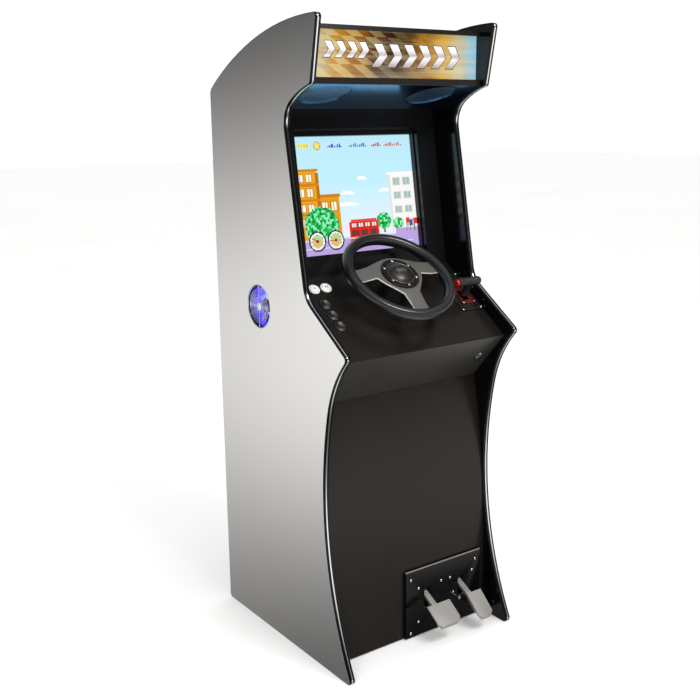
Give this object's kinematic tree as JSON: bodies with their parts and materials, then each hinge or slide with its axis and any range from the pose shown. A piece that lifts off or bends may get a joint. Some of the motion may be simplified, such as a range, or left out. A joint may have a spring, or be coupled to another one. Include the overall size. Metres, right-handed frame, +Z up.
{
  "type": "upright racing arcade cabinet",
  "caption": "Upright stand-up racing cabinet: curved side panels, sloping control deck with steering wheel and shifter, recessed screen, lit marquee and floor pedals.",
  "frame": {"origin": "middle of the whole box on the floor", "axes": "+X to the player's right, +Y to the back of the cabinet, +Z up"},
  "size_m": [0.586, 0.6474, 1.702],
  "materials": {
    "side_laminate": "gloss silver-grey laminate",
    "black_board": "satin black laminate",
    "rear_board": "matt black painted board",
    "raw_board": "bare fibreboard",
    "edge_trim": "black edging with a bright chrome centre stripe",
    "marquee_art": "backlit printed acrylic",
    "screen": "lit display",
    "monitor_plastic": "textured black",
    "speaker_cloth": "black speaker cover",
    "speaker_metal": "black enamel",
    "wheel_rubber": "soft black grip",
    "spoke_metal": "dark grey anodised",
    "hub_black": "gloss black",
    "cap_metal": "gloss graphite dome",
    "bright_screws": "polished",
    "steel": "zinc plated",
    "nylon": "moulded nylon",
    "shifter_black": "satin black",
    "shifter_red": "gloss red",
    "grip_rubber": "soft dark grey",
    "button_red": "gloss red",
    "button_white": "gloss white",
    "button_black": "gloss black",
    "pedal_black": "gloss black",
    "pedal_alloy": "fine brushed",
    "fan_black": "moulded black",
    "fan_blue": "translucent, lit blue and violet",
    "fan_chrome": "polished wire",
    "case_metal": "textured grey",
    "inlet_plastic": "moulded black",
    "switch_plastic": "gloss red"
  },
  "bodies": {
    "cabinet": {"side_panel_left": "side_laminate", "side_panel_right": "side_laminate", "control_panel": "black_board", "apron_panel": "black_board", "lower_front_panel": "black_board", "bezel_panel": "black_board", "speaker_panel": "black_board", "marquee_retainers": "black_board", "roof_panel": "black_board", "rear_panel_top": "rear_board", "rear_panel_bottom": "rear_board", "base_board": "raw_board", "monitor_batten": "raw_board", "marquee_light": "raw_board", "edge_trims": "edge_trim", "marquee_panel": "marquee_art", "monitor_screen": "screen", "monitor_housing": "monitor_plastic", "speaker_grilles": "speaker_cloth", "speakers": "speaker_metal", "panel_screws": "bright_screws", "steering_column": "steel", "shifter_bracket": "steel", "pedal_brackets": "steel", "pedal_springs": "steel", "door_hinge_fixed": "steel", "shifter_plate": "shifter_black", "shifter_gate": "shifter_red", "button_housings": "button_black", "pedal_plate": "pedal_black", "fan_frame": "fan_black", "fan_guard": "fan_chrome", "game_computer": "case_metal", "power_inlet": "inlet_plastic"},
    "rear_door": {"rear_door": "rear_board", "door_fittings": "steel"},
    "door_lock": {"door_lock_cam": "steel"},
    "steering_wheel": {"steering_rim": "wheel_rubber", "steering_spokes": "spoke_metal", "steering_hub": "hub_black", "steering_cap": "cap_metal", "steering_bolts": "bright_screws", "steering_shaft": "steel", "steering_gear": "nylon"},
    "steering_sensor": {"potentiometer_gear": "nylon"},
    "shifter": {"shifter_lever": "steel", "shifter_grip": "grip_rubber"},
    "shifter_button": {"shifter_button": "button_red"},
    "brake_pedal": {"brake_arm": "pedal_alloy", "brake_pad": "pedal_alloy"},
    "gas_pedal": {"gas_arm": "pedal_alloy", "gas_pad": "pedal_alloy"},
    "start_button_1": {"start_button_1": "button_white"},
    "start_button_2": {"start_button_2": "button_white"},
    "action_button_1": {"action_button_1": "button_black"},
    "action_button_2": {"action_button_2": "button_black"},
    "action_button_3": {"action_button_3": "button_black"},
    "credit_button": {"credit_button_1": "button_black"},
    "fan_rotor": {"fan_rotor": "fan_blue"},
    "power_switch": {"power_switch": "switch_plastic"}
  },
  "joints": [
    {"name": "rear_door_hinge", "type": "hinge", "parent": "cabinet", "child": "rear_door", "pos_m": [-0.27, 0.31665, 0.82], "axis": [0, 0, 1], "range_deg": [0, 110]},
    {"name": "door_lock_turn", "type": "hinge", "parent": "rear_door", "child": "door_lock", "pos_m": [0.238, 0.31165, 0.82], "axis": [0, -1, 0], "range_deg": [0, 90]},
    {"name": "steering", "type": "hinge", "parent": "cabinet", "child": "steering_wheel", "pos_m": [0, -0.11286, 0.98596], "axis": [0, -0.5859, 0.8104], "range_deg": [-135, 135], "stiffness_Nm_per_rad": 0.5},
    {"name": "steering_sensor_turn", "type": "hinge", "parent": "cabinet", "child": "steering_sensor", "pos_m": [0.063, -0.11286, 0.98596], "axis": [0, -0.5859, 0.8104], "range_deg": [-150, 150]},
    {"name": "shift", "type": "hinge", "parent": "cabinet", "child": "shifter", "pos_m": [0.235, -0.12239, 0.92353], "axis": [1, 0, 0], "range_deg": [-12, 12], "stiffness_Nm_per_rad": 5},
    {"name": "shifter_button_press", "type": "slide", "parent": "shifter", "child": "shifter_button", "axis": [1, 0, 0], "range_m": [0, 0.0025], "stiffness_N_per_m": 700},
    {"name": "brake", "type": "hinge", "parent": "cabinet", "child": "brake_pedal", "pos_m": [0.0505, -0.18735, 0.15], "axis": [1, 0, 0], "range_deg": [0, 12], "stiffness_Nm_per_rad": 8, "springref_deg": -6.88},
    {"name": "gas", "type": "hinge", "parent": "cabinet", "child": "gas_pedal", "pos_m": [0.179, -0.18735, 0.15], "axis": [1, 0, 0], "range_deg": [0, 14], "stiffness_Nm_per_rad": 4, "springref_deg": -8.59},
    {"name": "start_button_1_press", "type": "slide", "parent": "cabinet", "child": "start_button_1", "axis": [0, 0.5859, -0.8104], "range_m": [0, 0.003], "stiffness_N_per_m": 600},
    {"name": "start_button_2_press", "type": "slide", "parent": "cabinet", "child": "start_button_2", "axis": [0, 0.5859, -0.8104], "range_m": [0, 0.003], "stiffness_N_per_m": 600},
    {"name": "action_button_1_press", "type": "slide", "parent": "cabinet", "child": "action_button_1", "axis": [0, 0.5859, -0.8104], "range_m": [0, 0.003], "stiffness_N_per_m": 600},
    {"name": "action_button_2_press", "type": "slide", "parent": "cabinet", "child": "action_button_2", "axis": [0, 0.5859, -0.8104], "range_m": [0, 0.003], "stiffness_N_per_m": 600},
    {"name": "action_button_3_press", "type": "slide", "parent": "cabinet", "child": "action_button_3", "axis": [0, 0.5859, -0.8104], "range_m": [0, 0.003], "stiffness_N_per_m": 600},
    {"name": "credit_button_press", "type": "slide", "parent": "cabinet", "child": "credit_button", "axis": [0, 0.7437, 0.6685], "range_m": [0, 0.003], "stiffness_N_per_m": 600},
    {"name": "fan_spin", "type": "hinge", "parent": "cabinet", "child": "fan_rotor", "pos_m": [-0.265, 0.09365, 0.958], "axis": [1, 0, 0], "continuous": true},
    {"name": "power_switch_rock", "type": "hinge", "parent": "cabinet", "child": "power_switch", "pos_m": [0.205, 0.31165, 0.14], "axis": [-1, 0, 0], "range_deg": [0, 14]}
  ],
  "couplings": [
    {"joint": "steering_sensor_turn", "follows": "steering", "ratio": -1.1}
  ]
}
